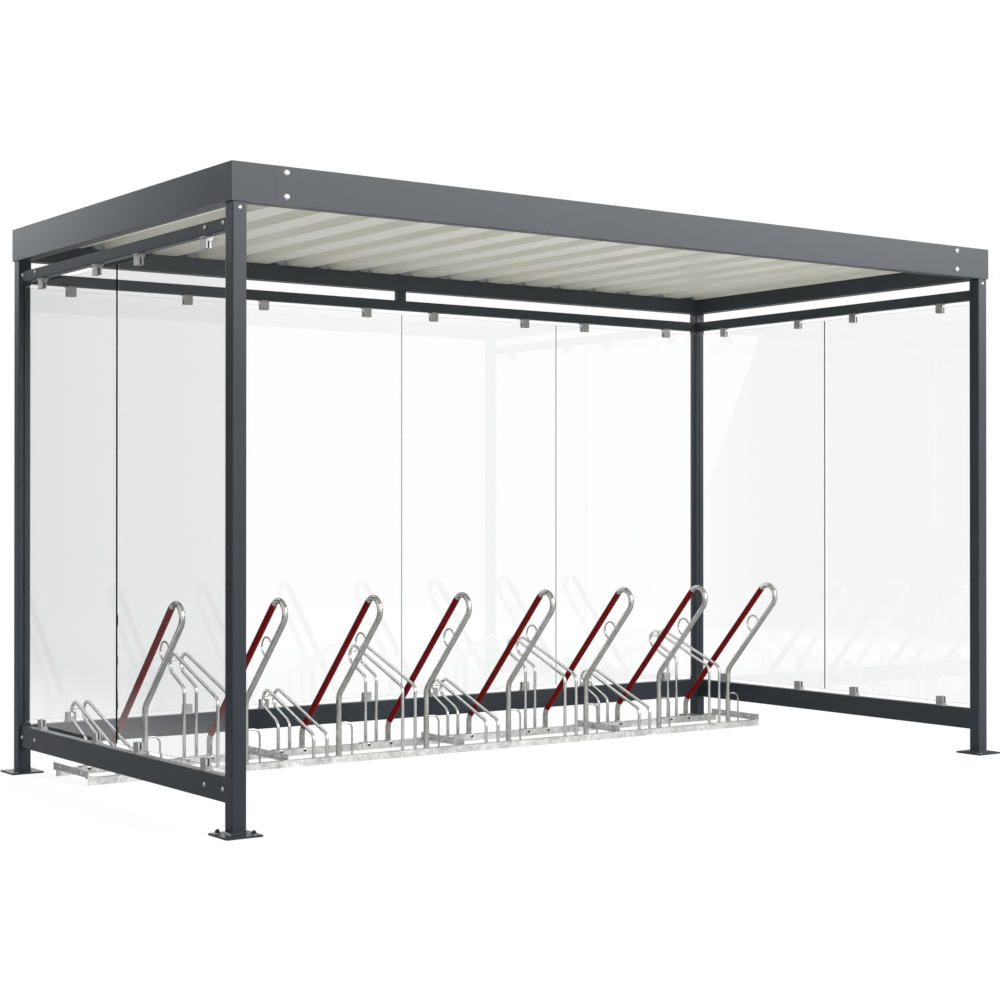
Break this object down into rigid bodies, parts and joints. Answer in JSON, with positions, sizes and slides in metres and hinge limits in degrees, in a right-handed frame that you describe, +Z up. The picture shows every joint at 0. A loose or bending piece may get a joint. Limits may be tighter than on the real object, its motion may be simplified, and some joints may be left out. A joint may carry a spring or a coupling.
{
  "type": "bike shelter",
  "caption": "Open-fronted bike shelter: square posts, flat ribbed roof with a deep fascia, clamped glass walls and a two-height bike rack with lean hoops and wheel loops.",
  "frame": {"origin": "on the ground under the middle of the shelter", "axes": "+X to the right along the width, +Y from the open front to the rear wall, +Z up"},
  "size_m": [4.274, 2.25, 2.5],
  "materials": {
    "frame_paint": "anthracite powder coat, satin with a fine grain",
    "roof_sheet": "cream coil coating, satin",
    "glass": "clear toughened glass",
    "clamp": "satin stainless",
    "lining": "matt black",
    "galvanised": "bright hot-dip zinc",
    "sleeve": "dark red, satin"
  },
  "bodies": {
    "root": {"post_front_left": "frame_paint", "post_front_right": "frame_paint", "post_rear_left": "frame_paint", "post_rear_right": "frame_paint", "beam_front": "frame_paint", "beam_rear": "frame_paint", "beam_left": "frame_paint", "beam_right": "frame_paint", "corner_angles": "frame_paint", "fascia_front": "frame_paint", "fascia_rear": "frame_paint", "fascia_left": "frame_paint", "fascia_right": "frame_paint", "roof_sheet_1": "roof_sheet", "roof_sheet_2": "roof_sheet", "roof_sheet_3": "roof_sheet", "roof_sheet_4": "roof_sheet", "top_rail_left": "frame_paint", "top_rail_rear": "frame_paint", "top_rail_right": "frame_paint", "rail_hanger": "frame_paint", "bottom_rail_left": "frame_paint", "bottom_rail_rear": "frame_paint", "bottom_rail_right": "frame_paint", "glass_left": "glass", "glass_rear": "glass", "glass_right": "glass", "clamps_left": "clamp", "clamps_rear": "clamp", "clamps_right": "clamp", "clamp_linings": "lining", "rack_front_rail": "galvanised", "rack_rear_rail": "galvanised", "rack_ties": "galvanised", "holder_brackets": "galvanised", "lean_hoops_1": "galvanised", "lean_hoops_2": "galvanised", "lean_hoops_3": "galvanised", "lean_hoops_4": "galvanised", "hoop_sleeves": "sleeve", "wheel_loops_1": "galvanised", "wheel_loops_2": "galvanised", "wheel_loops_3": "galvanised", "wheel_loops_4": "galvanised"}
  },
  "joints": []
}
